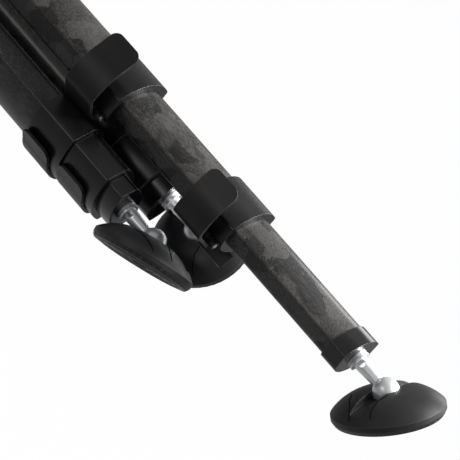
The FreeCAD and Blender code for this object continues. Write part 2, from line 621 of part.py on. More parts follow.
def hinge_ears(body, angle):
    """The pair of ears for one leg, with their webs, bolt hole and catch notches, turned round X by angle."""
    turn = Rotation(Vector(1, 0, 0), angle)
    rise = "(leg_radius + hinge_rise)"
    inside = "(barrel_half_width + hinge_side_gap)"
    outside = f"({inside} + apex_ear_wall)"

    def spot(station, y, z):
        return (station, f"({y}) * cos({angle}) - ({z}) * sin({angle})",
                f"({y}) * sin({angle}) + ({z}) * cos({angle})")

    for side, y in (("Left", f"-{outside}"), ("Right", inside)):
        web = body.newObject("PartDesign::AdditiveBox", f"{side}Web{angle}")
        web.Placement = Placement(Vector(), turn)
        bind(web, "Length", "hinge_station - bowl_band_end")
        bind(web, "Width", "apex_ear_wall")
        bind(web, "Height", "web_outer - web_inner")
        for axis, sum_text in zip("xyz", spot("bowl_band_end", y, "web_inner")):
            bind(web, f"Placement.Base.{axis}", sum_text)
        cylinder(body, "Additive", f"{side}Ear{angle}", turn.multiply(ACROSS), "apex_ear_radius",
                 spot("hinge_station", y, rise), "apex_ear_wall")
    cylinder(body, "Subtractive", f"BoltHole{angle}", turn.multiply(ACROSS), "hinge_bolt_radius + pin_gap",
             spot("hinge_station", f"-{outside}", rise), f"2 * {outside}")
    for stance in STANCES:
        x = f"hinge_station + apex_ear_radius * cos(catch_bearing + {stance})"
        z = f"{rise} + apex_ear_radius * sin(catch_bearing + {stance})"
        cylinder(body, "Subtractive", f"Notch{angle}At{stance}", turn.multiply(ACROSS), "detent_radius",
                 spot(x, f"-{outside}", z), f"2 * {outside}")


def bubble_level():
    body = new_body("bubble_level")
    start = ("bowl_rim - level_proud", "-level_place * sin(level_bearing)", "level_place * cos(level_bearing)")
    cylinder(body, "Additive", "Vial", LONG, "level_radius", start, "level_height")
    return body


def leveller_ball():
    body = new_body("leveller_ball")
    inner = "(half_ball_radius - half_ball_wall)"

    def reach(radius, station):
        return f"sqrt({radius}^2 - ({station} - bowl_centre)^2)"

    points = [("stud_seat", "0"), ("stud_seat", "stud_root_radius"), ("stud_relief", "stud_root_radius"),
              ("0", "stud_radius + stud_relief"), ("0", "plate_radius"),
              ("plate_height", "plate_radius"), ("plate_height", reach("half_ball_radius", "plate_height")),
              ("half_ball_end", reach("half_ball_radius", "half_ball_end")),
              ("half_ball_end", reach(inner, "half_ball_end")), ("half_ball_floor", reach(inner, "half_ball_floor")),
              ("half_ball_floor", "hub_radius"), ("half_ball_end", "hub_radius"), ("half_ball_end", "stem_radius"),
              ("stem_start", "stem_radius"), ("stem_start", "0")]
    turned(body, "HalfBall", points, {6: ("half_ball_radius", -1), 8: (inner, 1)})
    return body


def head_stud():
    body = new_body("head_stud")
    points = [("-stud_length", "0"), ("-stud_length", "stud_radius - stud_chamfer"),
              ("stud_chamfer - stud_length", "stud_radius"), ("0", "stud_radius"), ("0", "stud_root_radius"),
              ("stud_seat", "stud_root_radius"), ("stud_seat", "0")]
    turned(body, "Stud", points)
    return body


# The tie-down's stations along X, all from the half ball.
CUP = "(half_ball_radius + bowl_gap + bowl_wall + cup_gap)"
CUP_EDGE = f"(bowl_centre + sqrt({CUP}^2 - cup_radius^2))"
KNOB_START = f"({CUP_EDGE} + cup_edge + knob_neck)"
KNOB_END = f"({KNOB_START} + knob_length)"


def tie_down_stem():
    body = new_body("tie_down_stem")
    cylinder(body, "Additive", "Stem", LONG, "stem_radius", ("stem_start", "0", "0"),
             f"{KNOB_END} + stem_tail - stem_start")
    return body


def tie_down_handle():
    body = new_body("tie_down_handle")
    bore = "(stem_radius + pin_gap)"
    points = [(f"bowl_centre + sqrt({CUP}^2 - {bore}^2)", bore), (CUP_EDGE, "cup_radius"),
              (f"{CUP_EDGE} + cup_edge", "cup_radius"), (KNOB_START, "knob_radius"), (KNOB_END, "knob_radius"),
              (KNOB_END, bore)]
    turned(body, "Knob", points, {0: (CUP, 1)})
    for i in range(FLUTES):
        bearing = f"({i} * 360 / {FLUTES})"
        place = "(knob_radius + flute_radius - flute_depth)"
        start = (KNOB_START, f"{place} * cos({bearing})", f"{place} * sin({bearing})")
        cylinder(body, "Subtractive", f"Flute{i}", LONG, "flute_radius", start, "knob_length")
    return body


def place(body, leg, shift="0", rise="leg_radius"):
    """Turns a piece round X to its leg and slides it along X by shift."""
    turn = Rotation(Vector(1, 0, 0), LEGS[leg])
    body.Placement = Placement(turn.multVec(Vector(value(shift), 0, value(rise))), turn)


def place_lever(body, leg, tube_out, lock, shift="0"):
    """The same for a lever, opened round its pin."""
    side, rise = pin_spot(tube_out, lock)
    pin = Vector(0, -value(side), value(rise))
    opened = Rotation(Vector(1, 0, 0), value(f"{lock}_open_{leg}"))
    place(body, leg, shift)
    body.Placement = body.Placement.multiply(Placement(pin - opened.multVec(pin), opened))


def place_foot(body, leg, shift, tilt="0", lean="0", spin="0"):
    """The same for a piece drawn about its own origin: leaned round the leg, tipped, and turned on its own axis."""
    own = Rotation(Vector(1, 0, 0), value(lean)).multiply(Rotation(Vector(0, 1, 0), value(tilt)))
    own = own.multiply(Rotation(Vector(1, 0, 0), value(spin)))
    turn = Rotation(Vector(1, 0, 0), LEGS[leg])
    body.Placement = Placement(turn.multVec(Vector(value(shift), 0, value("leg_radius"))), turn.multiply(own))


def build_leg(leg):
    start = f"leg_{leg}_"
    middle = "middle_drawn" if leg == "a" else "0"
    lower = "(middle_drawn + lower_drawn)" if leg == "a" else "0"
    place(leg_top(start + "top"), leg)
    place(hinge_bolt(start + "hinge_bolt"), leg)
    place(angle_catch(start + "angle_catch"), leg)
    place(tube(start + "upper_tube", UPPER_TUBE, "upper_tube_start", "(upper_rim - neck_length)"), leg)
    place(collar(start + "upper_collar", UPPER_TUBE, MIDDLE_TUBE, "upper_rim", "upper"), leg)
    place_lever(lever(start + "upper_lever", UPPER_TUBE, "upper_rim", "upper"), leg, UPPER_TUBE, "upper")
    place(lock_pin(start + "upper_lock_pin", UPPER_TUBE, "upper_rim", "upper"), leg)
    place(tube(start + "middle_tube", MIDDLE_TUBE, "middle_tube_start", f"({LOWER_RIM} - neck_length)"), leg, middle)
    place(guide(start + "middle_bush", MIDDLE_TUBE, "upper_step", "middle_tube_start"), leg, middle)
    place(collar(start + "lower_collar", MIDDLE_TUBE, LOWER_TUBE, LOWER_RIM, "lower"), leg, middle)
    place_lever(lever(start + "lower_lever", MIDDLE_TUBE, LOWER_RIM, "lower"), leg, MIDDLE_TUBE, "lower", middle)
    place(lock_pin(start + "lower_lock_pin", MIDDLE_TUBE, LOWER_RIM, "lower"), leg, middle)
    place(tube(start + "lower_tube", LOWER_TUBE, "lower_tube_start", f"({CAP_END} - cap_floor)"), leg, lower)
    place(guide(start + "lower_bush", LOWER_TUBE, "middle_step", "lower_tube_start"), leg, lower)
    place(end_cap(start + "end_cap"), leg, lower)
    place_foot(ball_pin(start + "ball_pin"), leg, f"{CAP_END} + {lower}", lean=f"pin_turn_{leg}")
    for piece in (foot_socket(start + "foot_socket"), foot_pad(start + "foot_pad")):
        place_foot(piece, leg, f"{CAP_END} + {lower} + pin_reach", f"foot_tilt_{leg}", f"foot_lean_{leg}",
                   f"foot_spin_{leg}")


def check():
    doc.recompute()
    for thing in doc.Objects:
        if "Invalid" in thing.State or "Error" in thing.State:
            raise RuntimeError(f"{thing.Label} failed: {thing.State}")
    for piece in pieces:
        shape = piece.Shape
        if shape.isNull() or not shape.isValid() or len(shape.Solids) != 1:
            raise RuntimeError(f"{piece.Label} is not one valid solid")


apex_casting()
bubble_level()
leveller_ball()
head_stud()
tie_down_stem()
tie_down_handle()
for leg in LEGS:
    build_leg(leg)
check()
os.makedirs("parts", exist_ok=True)
for piece in pieces:
    piece.Shape.exportStep(os.path.join("parts", piece.Label + ".step"))
print(len(pieces), "pieces")
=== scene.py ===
import math

import bmesh
import bpy
from mathutils import Matrix, Vector
from mathutils.bvhtree import BVHTree
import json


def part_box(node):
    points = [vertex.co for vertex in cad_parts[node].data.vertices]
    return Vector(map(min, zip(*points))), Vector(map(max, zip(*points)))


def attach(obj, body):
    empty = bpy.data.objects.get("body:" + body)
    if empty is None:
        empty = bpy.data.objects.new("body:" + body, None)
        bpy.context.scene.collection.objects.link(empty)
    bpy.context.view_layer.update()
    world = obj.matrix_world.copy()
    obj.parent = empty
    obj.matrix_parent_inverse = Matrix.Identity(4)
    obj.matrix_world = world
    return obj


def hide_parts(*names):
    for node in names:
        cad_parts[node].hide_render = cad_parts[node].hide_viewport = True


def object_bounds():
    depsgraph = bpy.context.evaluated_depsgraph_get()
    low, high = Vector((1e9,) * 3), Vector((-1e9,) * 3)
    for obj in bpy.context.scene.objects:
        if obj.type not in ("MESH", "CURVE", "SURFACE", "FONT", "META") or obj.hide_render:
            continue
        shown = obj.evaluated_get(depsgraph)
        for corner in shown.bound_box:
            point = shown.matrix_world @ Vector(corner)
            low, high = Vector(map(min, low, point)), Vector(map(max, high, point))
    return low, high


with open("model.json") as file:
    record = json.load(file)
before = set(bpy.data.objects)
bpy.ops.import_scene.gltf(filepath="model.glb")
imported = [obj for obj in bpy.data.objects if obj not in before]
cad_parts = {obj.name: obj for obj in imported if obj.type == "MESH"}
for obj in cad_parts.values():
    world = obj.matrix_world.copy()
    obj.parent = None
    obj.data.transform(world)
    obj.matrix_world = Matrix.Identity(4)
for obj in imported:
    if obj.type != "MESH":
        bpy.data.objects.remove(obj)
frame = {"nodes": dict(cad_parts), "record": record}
cad_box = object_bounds()

MM = 0.001
# Each leg's bearing round the X axis, in degrees.
LEGS = {"a": 0, "b": 120, "c": 240}
# The camera's right, up and backward directions, its place and its lens, fitted to the tubes and feet.
CAMERA_RIGHT = (0.62795752, 0.56470097, 0.53552047)
CAMERA_UP = (-0.71699746, 0.15221084, 0.68025473)
CAMERA_BACK = (0.30262848, -0.81113789, 0.5004711)
CAMERA_PLACE = (1.062785, -1.029367, 0.652165)
SENSOR_WIDTH_MM = 36
LENS_MM = 182.34


def set_camera():
    """The camera stands where the photograph was taken from."""
    camera = bpy.data.objects.new("camera", bpy.data.cameras.new("camera"))
    bpy.context.scene.collection.objects.link(camera)
    turn = Matrix((CAMERA_RIGHT, CAMERA_UP, CAMERA_BACK)).transposed().to_4x4()
    camera.matrix_world = Matrix.Translation(CAMERA_PLACE) @ turn
    camera.data.sensor_width = SENSOR_WIDTH_MM
    camera.data.lens = LENS_MM
    bpy.context.scene.camera = camera


# Small helpers for node trees.
def link_all(tree, *pairs):
    for source, target in pairs:
        tree.links.new(source, target)


def add(tree, kind, **settings):
    node = tree.nodes.new(kind)
    for name, setting in settings.items():
        if hasattr(node, name) and name not in node.inputs:
            setattr(node, name, setting)
        else:
            node.inputs[name.replace("_", " ")].default_value = setting
    return node


def sums(tree, operation, first, second, clamp=False):
    """One step of arithmetic on two numbers or sockets."""
    node = tree.nodes.new("ShaderNodeMath")
    node.operation = operation
    node.use_clamp = clamp
    for socket, term in zip(node.inputs, (first, second)):
        if isinstance(term, (int, float)):
            socket.default_value = term
        else:
            tree.links.new(term, socket)
    return node.outputs[0]


def remap(tree, term, low, high, to_low=0.0, to_high=1.0):
    node = tree.nodes.new("ShaderNodeMapRange")
    for name, number in (("From Min", low), ("From Max", high), ("To Min", to_low), ("To Max", to_high)):
        node.inputs[name].default_value = number
    tree.links.new(term, node.inputs["Value"])
    return node.outputs["Result"]


def blend_colours(tree, share, first, second):
    node = tree.nodes.new("ShaderNodeMix")
    node.data_type = "RGBA"
    for label, term in (("Factor", share), ("A", first), ("B", second)):
        socket = node.inputs[label]
        if isinstance(term, (int, float)):
            socket.default_value = term
        elif isinstance(term, tuple):
            socket.default_value = (*term, 1)
        else:
            tree.links.new(term, socket)
    return node.outputs["Result"]


def new_group(name, inputs, outputs):
    """A shader node group with its named inputs and outputs, and its two end nodes."""
    tree = bpy.data.node_groups.new(name, "ShaderNodeTree")
    for label, kind, start in inputs:
        socket = tree.interface.new_socket(label, in_out="INPUT", socket_type="NodeSocket" + kind)
        if start is not None:
            socket.default_value = start
    for label, kind in outputs:
        tree.interface.new_socket(label, in_out="OUTPUT", socket_type="NodeSocket" + kind)
    return tree, add(tree, "NodeGroupInput"), add(tree, "NodeGroupOutput")


# Scales of the pattern against a chip's width: strands along and across the fibres, and chips along them.
STRAND_STRETCH = 0.35
STRAND_FINENESS = 15.0
CHIP_STRETCH = 0.55


def make_fibre_chips():
    """Cut chips of carbon tape laid one over another: torn across the fibres, straight along them."""
    tree, given, made = new_group(
        "Fibre chips",
        [
            ("Vector", "Vector", None), ("Scale", "Float", 40.0), ("Torn ends", "Float", 0.25),
            ("Cover", "Float", 0.5),
        ],
        [("Shade", "Float"), ("Mask", "Float"), ("Fibre", "Float")],
    )
    scaled = add(tree, "ShaderNodeVectorMath", operation="SCALE")
    link_all(
        tree,
        (given.outputs["Vector"], scaled.inputs[0]),
        (given.outputs["Scale"], scaled.inputs["Scale"]),
    )
    split = add(tree, "ShaderNodeSeparateXYZ")
    tree.links.new(scaled.outputs[0], split.inputs[0])
    along, across, through = split.outputs

    strand_place = add(tree, "ShaderNodeCombineXYZ")
    link_all(
        tree,
        (sums(tree, "MULTIPLY", along, STRAND_STRETCH), strand_place.inputs[0]),
        (sums(tree, "MULTIPLY", across, STRAND_FINENESS), strand_place.inputs[1]),
        (sums(tree, "MULTIPLY", through, STRAND_FINENESS), strand_place.inputs[2]),
    )
    strands = add(tree, "ShaderNodeTexNoise", Scale=1.0, Detail=3.0, Roughness=0.6)
    tree.links.new(strand_place.outputs[0], strands.inputs["Vector"])
    ragged = sums(tree, "SUBTRACT", strands.outputs["Fac"], 0.5)
    tear = sums(tree, "MULTIPLY", ragged, given.outputs["Torn ends"])

    chip_place = add(tree, "ShaderNodeCombineXYZ")
    link_all(
        tree,
        (sums(tree, "ADD", sums(tree, "MULTIPLY", along, CHIP_STRETCH), tear), chip_place.inputs[0]),
        (across, chip_place.inputs[1]),
        (through, chip_place.inputs[2]),
    )
    chips = add(tree, "ShaderNodeTexVoronoi", distance="CHEBYCHEV", Scale=1.0, Randomness=0.85)
    tree.links.new(chip_place.outputs[0], chips.inputs["Vector"])
    lot = add(tree, "ShaderNodeSeparateColor")
    tree.links.new(chips.outputs["Color"], lot.inputs[0])
    lies_on_top = sums(tree, "GREATER_THAN", given.outputs["Cover"], lot.outputs[0])
    link_all(
        tree,
        (lot.outputs[1], made.inputs["Shade"]),
        (lies_on_top, made.inputs["Mask"]),
        (strands.outputs["Fac"], made.inputs["Fibre"]),
    )
    return tree


# Width of the band along edges where a lighter colour is painted: a painted highlight, also standing for
# rubbed wear.
EDGE_SHEEN_AND_WEAR_RADIUS = 0.0007
SCRATCH_LENGTHENING = (0.12, 1.0, 1.0)
SCRATCH_TURN = (0.3, 0.6, 0.5)
SCRATCH_FINENESS = 22.0
DUST_SCALE = 1900.0
# Where each mark starts and where it is full, on the value that it is read from.
EDGE_SPAN = (0.985, 0.9)
SMUDGE_SPAN = (0.35, 0.7)
SCRATCH_SPAN = (0.66, 0.78)
DUST_SPAN = (0.68, 0.8)


def make_handling_and_sheen():
    """Where hands and bags have rubbed a finish: soft smudges, fine scratches and settled dust; and a mask
    along edges that paints a lighter sheen there, a painted highlight that also stands for rubbed wear.
    """
    tree, given, made = new_group(
        "Handling and edge sheen",
        [("Smudge scale", "Float", 30.0), ("Scratch scale", "Float", 90.0)],
        [("Smudge", "Float"), ("Scratches", "Float"), ("Dust", "Float"), ("Edges", "Float")],
    )
    place = add(tree, "ShaderNodeTexCoord")
    surface = add(tree, "ShaderNodeNewGeometry")
    # The edge mask: where the bevelled normal parts from the plain one. It paints a lighter sheen, a painted
    # highlight that also stands for wear.
    rounded = add(tree, "ShaderNodeBevel", Radius=EDGE_SHEEN_AND_WEAR_RADIUS)
    rounded.samples = 6
    alike = add(tree, "ShaderNodeVectorMath", operation="DOT_PRODUCT")
    smudge = add(tree, "ShaderNodeTexNoise", Detail=4.0, Roughness=0.55)
    stretched = add(tree, "ShaderNodeMapping")
    stretched.inputs["Rotation"].default_value = SCRATCH_TURN
    stretched.inputs["Scale"].default_value = SCRATCH_LENGTHENING
    hairlines = add(tree, "ShaderNodeTexNoise", Detail=2.0, Roughness=0.7)
    specks = add(tree, "ShaderNodeTexNoise", Scale=DUST_SCALE, Detail=1.0)
    link_all(
        tree,
        (place.outputs["Object"], smudge.inputs["Vector"]),
        (given.outputs["Smudge scale"], smudge.inputs["Scale"]),
        (place.outputs["Object"], stretched.inputs["Vector"]),
        (stretched.outputs[0], hairlines.inputs["Vector"]),
        (sums(tree, "MULTIPLY", given.outputs["Scratch scale"], SCRATCH_FINENESS), hairlines.inputs["Scale"]),
        (place.outputs["Object"], specks.inputs["Vector"]),
        (surface.outputs["Normal"], alike.inputs[0]),
        (rounded.outputs["Normal"], alike.inputs[1]),
        (remap(tree, alike.outputs["Value"], *EDGE_SPAN), made.inputs["Edges"]),
        (remap(tree, smudge.outputs["Fac"], *SMUDGE_SPAN), made.inputs["Smudge"]),
        (remap(tree, hairlines.outputs["Fac"], *SCRATCH_SPAN), made.inputs["Scratches"]),
        (remap(tree, specks.outputs["Fac"], *DUST_SPAN), made.inputs["Dust"]),
    )
    return tree


def make_grain():
    """The fine pebble of moulded plastic, powder coat or rubber."""
    tree, given, made = new_group(
        "Moulded grain",
        [("Scale", "Float", 2500.0), ("Softness", "Float", 0.5)],
        [("Height", "Float")],
    )
    place = add(tree, "ShaderNodeTexCoord")
    pebbles = add(tree, "ShaderNodeTexVoronoi", feature="SMOOTH_F1", Smoothness=0.6)
    ripple = add(tree, "ShaderNodeTexNoise", Detail=3.0)
    both = add(tree, "ShaderNodeMix")
    link_all(
        tree,
        (place.outputs["Object"], pebbles.inputs["Vector"]),
        (place.outputs["Object"], ripple.inputs["Vector"]),
        (given.outputs["Scale"], pebbles.inputs["Scale"]),
        (given.outputs["Scale"], ripple.inputs["Scale"]),
        (given.outputs["Softness"], both.inputs["Factor"]),
        (pebbles.outputs["Distance"], both.inputs["A"]),
        (ripple.outputs["Fac"], both.inputs["B"]),
        (both.outputs["Result"], made.inputs["Height"]),
    )
    return tree


def place_group(tree, group, **settings):
    node = tree.nodes.new("ShaderNodeGroup")
    node.node_tree = group
    for name, setting in settings.items():
        node.inputs[name.replace("_", " ")].default_value = setting
    return node


FIBRE_CHIPS = make_fibre_chips()
HANDLING_AND_SHEEN = make_handling_and_sheen()
GRAIN = make_grain()


def new_finish(name, **shader_values):
    """A material with its Principled shader, and plain numbers on that shader's own sockets."""
    material = bpy.data.materials.new(name)
    material.use_nodes = True
    shader = material.node_tree.nodes["Principled BSDF"]
    for label, number in shader_values.items():
        shader.inputs[label.replace("_", " ")].default_value = number
    return material, material.node_tree, shader


BROKEN_EDGE_RADIUS = 0.0005


def raise_surface(tree, shader, height, distance, strength):
    """Small relief over edges that catch the light as if they were broken."""
    broken = add(tree, "ShaderNodeBevel", Radius=BROKEN_EDGE_RADIUS)
    broken.samples = 4
    bump = add(tree, "ShaderNodeBump", Strength=strength, Distance=distance)
    tree.links.new(broken.outputs["Normal"], bump.inputs["Normal"])
    link_all(tree, (height, bump.inputs["Height"]), (bump.outputs["Normal"], shader.inputs["Normal"]))


# Layers of chips, the lowest first: turn in radians, scale per metre, cover (over 1 is all) and shift.
CHIP_LAYERS = (
    (0.35, 60.0, 1.1, 0.0),
    (-0.6, 52.0, 0.5, 0.31),
    (0.95, 64.0, 0.45, 0.77),
    (-0.15, 56.0, 0.4, 1.3),
    (0.6, 70.0, 0.35, 2.1),
)
# Shares of a layer's turn and shift along each axis.
LAYER_TURN = (0.2, 1.0, 1.1)
LAYER_SHIFT = (1.0, 0.37, 0.53)
BASE_SHADE = 0.35
BASE_FIBRE = 0.5
FIBRE_SPAN = (0.3, 0.7)
STREAK_STRENGTH = 0.42
CARBON_DARK = (0.0035, 0.0034, 0.0034, 1)
CARBON_MIDDLE = (0.023, 0.0215, 0.0205, 1)
CARBON_LIGHT = (0.062, 0.058, 0.055, 1)
CARBON_DUST = (0.16, 0.15, 0.14)
# Colour along edges: a painted highlight, also standing for rubbed wear.
CARBON_EDGE_SHEEN_AND_WEAR = (0.3, 0.29, 0.28)


def forged_carbon():
    """Chips of carbon tape in overlapping layers, pressed into a clear resin."""
    material, tree, shader = new_finish(
        "forged carbon", Specular_IOR_Level=0.3, Coat_Roughness=0.14, Coat_Weight=0.3
    )
    place = add(tree, "ShaderNodeTexCoord")
    shade, fibre = BASE_SHADE, None
    for turn, scale, cover, shift in CHIP_LAYERS:
        laid = add(tree, "ShaderNodeMapping")
        laid.inputs["Rotation"].default_value = [part * turn for part in LAYER_TURN]
        laid.inputs["Location"].default_value = [part * shift for part in LAYER_SHIFT]
        chips = place_group(tree, FIBRE_CHIPS, Scale=scale, Torn_ends=0.45, Cover=cover)
        mix = add(tree, "ShaderNodeMix")
        streak = add(tree, "ShaderNodeMix")
        link_all(
            tree,
            (place.outputs["Object"], laid.inputs["Vector"]),
            (laid.outputs[0], chips.inputs["Vector"]),
            (chips.outputs["Mask"], mix.inputs["Factor"]),
            (chips.outputs["Shade"], mix.inputs["B"]),
            (chips.outputs["Mask"], streak.inputs["Factor"]),
            (chips.outputs["Fibre"], streak.inputs["B"]),
        )
        if fibre is None:
            mix.inputs["A"].default_value = shade
            streak.inputs["A"].default_value = BASE_FIBRE
        else:
            link_all(tree, (shade, mix.inputs["A"]), (fibre, streak.inputs["A"]))
        shade, fibre = mix.outputs["Result"], streak.outputs["Result"]
    streaks = remap(tree, fibre, *FIBRE_SPAN, -STREAK_STRENGTH, STREAK_STRENGTH)
    streaked = sums(tree, "ADD", shade, streaks, clamp=True)
    ramp = add(tree, "ShaderNodeValToRGB")
    ramp.color_ramp.elements[0].color = CARBON_DARK
    ramp.color_ramp.elements[1].color = CARBON_LIGHT
    middle = ramp.color_ramp.elements.new(0.5)
    middle.color = CARBON_MIDDLE
    handling_and_sheen = place_group(tree, HANDLING_AND_SHEEN, Smudge_scale=18.0, Scratch_scale=60.0)
    dusted = blend_colours(
        tree, sums(tree, "MULTIPLY", handling_and_sheen.outputs["Dust"], 0.3), ramp.outputs["Color"], CARBON_DUST
    )
    # Lighter along edges: a painted highlight, which also stands for rubbed wear.
    rubbed_and_sheened = blend_colours(
        tree, sums(tree, "MULTIPLY", handling_and_sheen.outputs["Edges"], 0.8), dusted, CARBON_EDGE_SHEEN_AND_WEAR
    )
    greasy = sums(tree, "MULTIPLY", handling_and_sheen.outputs["Smudge"], 0.08)
    rough = sums(tree, "ADD", remap(tree, fibre, *FIBRE_SPAN, 0.36, 0.5), greasy)
    link_all(
        tree,
        (streaked, ramp.inputs["Fac"]),
        (rubbed_and_sheened, shader.inputs["Base Color"]),
        (rough, shader.inputs["Roughness"]),
    )
    laid_height = sums(tree, "ADD", sums(tree, "MULTIPLY", shade, 0.6), fibre)
    raise_surface(tree, shader, laid_height, distance=0.00006, strength=0.5)
    return material


def moulded(name, dark, light, rough, grain_scale, grain_height, edge_sheen_and_wear=0.45, **shader_values):
    """A moulded or coated finish: colour between two tones, rubbed patches, fine scratches, grain, and a
    lighter colour along edges that is a painted highlight as well as wear.
    """
    material, tree, shader = new_finish(name, **shader_values)
    handling_and_sheen = place_group(tree, HANDLING_AND_SHEEN)
    grain = place_group(tree, GRAIN, Scale=grain_scale)
    colour = blend_colours(tree, handling_and_sheen.outputs["Smudge"], dark, light)
    # Each mark: how strongly it shows, then the gain and lift that make its colour from the light tone. The
    # edge mark is a painted highlight along edges, and also stands for wear.
    marks = (("Scratches", 0.22, 2.6, 0.02), ("Dust", 0.25, 3, 0.03), ("Edges", edge_sheen_and_wear, 4, 0.05))
    for mark, share, gain, lift in marks:
        pale = tuple(gain * tone + lift for tone in light)
        colour = blend_colours(tree, sums(tree, "MULTIPLY", handling_and_sheen.outputs[mark], share), colour, pale)
    uneven = remap(tree, handling_and_sheen.outputs["Smudge"], 0.0, 1.0, rough - 0.05, rough + 0.06)
    worn = sums(tree, "SUBTRACT", uneven, sums(tree, "MULTIPLY", handling_and_sheen.outputs["Scratches"], 0.08))
    link_all(tree, (colour, shader.inputs["Base Color"]), (worn, shader.inputs["Roughness"]))
    raise_surface(tree, shader, grain.outputs["Height"], distance=grain_height, strength=0.35)
    return material


def bare_metal(name, dark, light, rough, turned_scale, metallic=1.0):
    """Turned or drawn metal: fine rings of tool marks, and tarnish in soft patches."""
    material, tree, shader = new_finish(name, Metallic=metallic)
    handling_and_sheen = place_group(tree, HANDLING_AND_SHEEN, Smudge_scale=60.0)
    place = add(tree, "ShaderNodeTexCoord")
    lathe = add(tree, "ShaderNodeMapping")
    lathe.inputs["Scale"].default_value = (turned_scale, 30.0, 30.0)
    rings = add(tree, "ShaderNodeTexNoise", Scale=1.0, Detail=2.0)
    tone = blend_colours(tree, handling_and_sheen.outputs["Smudge"], dark, light)
    link_all(
        tree,
        (place.outputs["Object"], lathe.inputs["Vector"]),
        (lathe.outputs[0], rings.inputs["Vector"]),
        (tone, shader.inputs["Base Color"]),
        (remap(tree, rings.outputs["Fac"], 0.3, 0.7, rough - 0.05, rough + 0.08), shader.inputs["Roughness"]),
    )
    raise_surface(tree, shader, rings.outputs["Fac"], distance=0.00003, strength=0.25)
    return material


FINISHES = {
    "carbon": forged_carbon(),
    "cast_black": moulded(
        "powder-coated casting", (0.012, 0.012, 0.0125), (0.02, 0.02, 0.021),
        rough=0.52, grain_scale=2200.0, grain_height=0.00007, Specular_IOR_Level=0.22,
    ),
    "collar_black": moulded(
        "satin collar plastic", (0.006, 0.006, 0.0063), (0.01, 0.01, 0.0105),
        rough=0.3, grain_scale=3200.0, grain_height=0.00002, Specular_IOR_Level=0.45,
    ),
    "lever_black": moulded(
        "matt lever plastic", (0.009, 0.009, 0.0095), (0.014, 0.014, 0.0145),
        rough=0.42, grain_scale=3000.0, grain_height=0.00003, Specular_IOR_Level=0.3,
    ),
    "lever_grey": moulded(
        "grey lever plate", (0.014, 0.014, 0.015), (0.022, 0.022, 0.024),
        rough=0.4, grain_scale=2600.0, grain_height=0.00002, Specular_IOR_Level=0.3,
    ),
    "cap_black": moulded(
        "gloss cap plastic", (0.006, 0.006, 0.0063), (0.01, 0.01, 0.0105),
        rough=0.22, grain_scale=3600.0, grain_height=0.00001, Specular_IOR_Level=0.5,
    ),
    "plastic_black": moulded(
        "knob plastic", (0.014, 0.014, 0.0145), (0.022, 0.022, 0.023),
        rough=0.48, grain_scale=2400.0, grain_height=0.00005, Specular_IOR_Level=0.25,
    ),
    "bush_plastic": moulded(
        "natural bush plastic", (0.42, 0.42, 0.4), (0.52, 0.52, 0.5),
        rough=0.5, grain_scale=2000.0, grain_height=0.00003, Specular_IOR_Level=0.4,
    ),
    "bright_aluminium": bare_metal(
        "bright aluminium", (0.82, 0.82, 0.83), (0.93, 0.93, 0.94),
        rough=0.34, turned_scale=4200.0, metallic=0.6,
    ),
    "satin_aluminium": bare_metal(
        "satin aluminium", (0.5, 0.5, 0.51), (0.62, 0.62, 0.63), rough=0.36, turned_scale=3600.0
    ),
    "steel": bare_metal(
        "zinc-plated steel", (0.45, 0.45, 0.46), (0.58, 0.58, 0.59), rough=0.3, turned_scale=3000.0
    ),
    "foot_rubber": moulded(
        "foot rubber", (0.017, 0.017, 0.0173), (0.028, 0.028, 0.0285),
        rough=0.46, grain_scale=1500.0, grain_height=0.00006, Specular_IOR_Level=0.35,
    ),
    # Nearly black and matt: painted shade for the grooves of the feet's rubber domes.
    "painted_groove_shade": moulded(
        "painted groove shade", (0.0015, 0.0015, 0.0015), (0.003, 0.003, 0.003),
        rough=0.8, grain_scale=1500.0, grain_height=0.00001, edge_sheen_and_wear=0.0, Specular_IOR_Level=0.05,
    ),
    "bubble": moulded(
        "level bubble", (0.75, 0.85, 0.4), (0.85, 0.92, 0.55),
        rough=0.12, grain_scale=900.0, grain_height=0.00001,
    ),
}


def level_liquid():
    """The vial of the bubble level: green spirit under clear plastic."""
    material, tree, shader = new_finish(
        "level vial", Roughness=0.08, Specular_IOR_Level=0.5, Coat_Weight=1.0, Coat_Roughness=0.03
    )
    handling_and_sheen = place_group(tree, HANDLING_AND_SHEEN, Smudge_scale=120.0)
    tone = blend_colours(tree, handling_and_sheen.outputs["Smudge"], (0.45, 0.62, 0.08), (0.6, 0.78, 0.14))
    scuffed = remap(tree, handling_and_sheen.outputs["Scratches"], 0.0, 1.0, 0.06, 0.2)
    link_all(tree, (tone, shader.inputs["Base Color"]), (scuffed, shader.inputs["Roughness"]))
    return material


FINISHES["level_green"] = level_liquid()


def dress_cad_nodes():
    """Each node of the construction gets the finish that its material slot names."""
    for part in frame["record"]["subparts"]:
        node = frame["nodes"][part["node"]]
        for material_slot in node.material_slots:
            material_slot.material = FINISHES[part["material_slot"]]


# How bright the white surroundings are in reflections, and the share of plain white in the seen floor.
REFLECTED_WHITE = 0.16
FLOOR_WHITENESS = 0.985


def white_to_the_eye(tree, shown, lit, output):
    """What the camera sees, and reflections at less strength; light itself meets only the lit surface."""
    seen = add(tree, "ShaderNodeLightPath")
    mirrored = sums(tree, "MAXIMUM", seen.outputs["Is Glossy Ray"], seen.outputs["Is Transmission Ray"])
    reflected = sums(tree, "MULTIPLY", mirrored, REFLECTED_WHITE)
    share = sums(tree, "MAXIMUM", seen.outputs["Is Camera Ray"], reflected)
    mix = add(tree, "ShaderNodeMixShader")
    link_all(
        tree,
        (share, mix.inputs["Fac"]),
        (lit, mix.inputs[1]),
        (shown, mix.inputs[2]),
        (mix.outputs[0], output),
    )


SPREAD_ROOM = 1.5
FLOOR_HALF_WIDTH = 25.0
FLOOR_MIDDLE = 0.4
WORLD_COLOUR = (0.8, 0.82, 0.85, 1)
WORLD_STRENGTH = 0.22


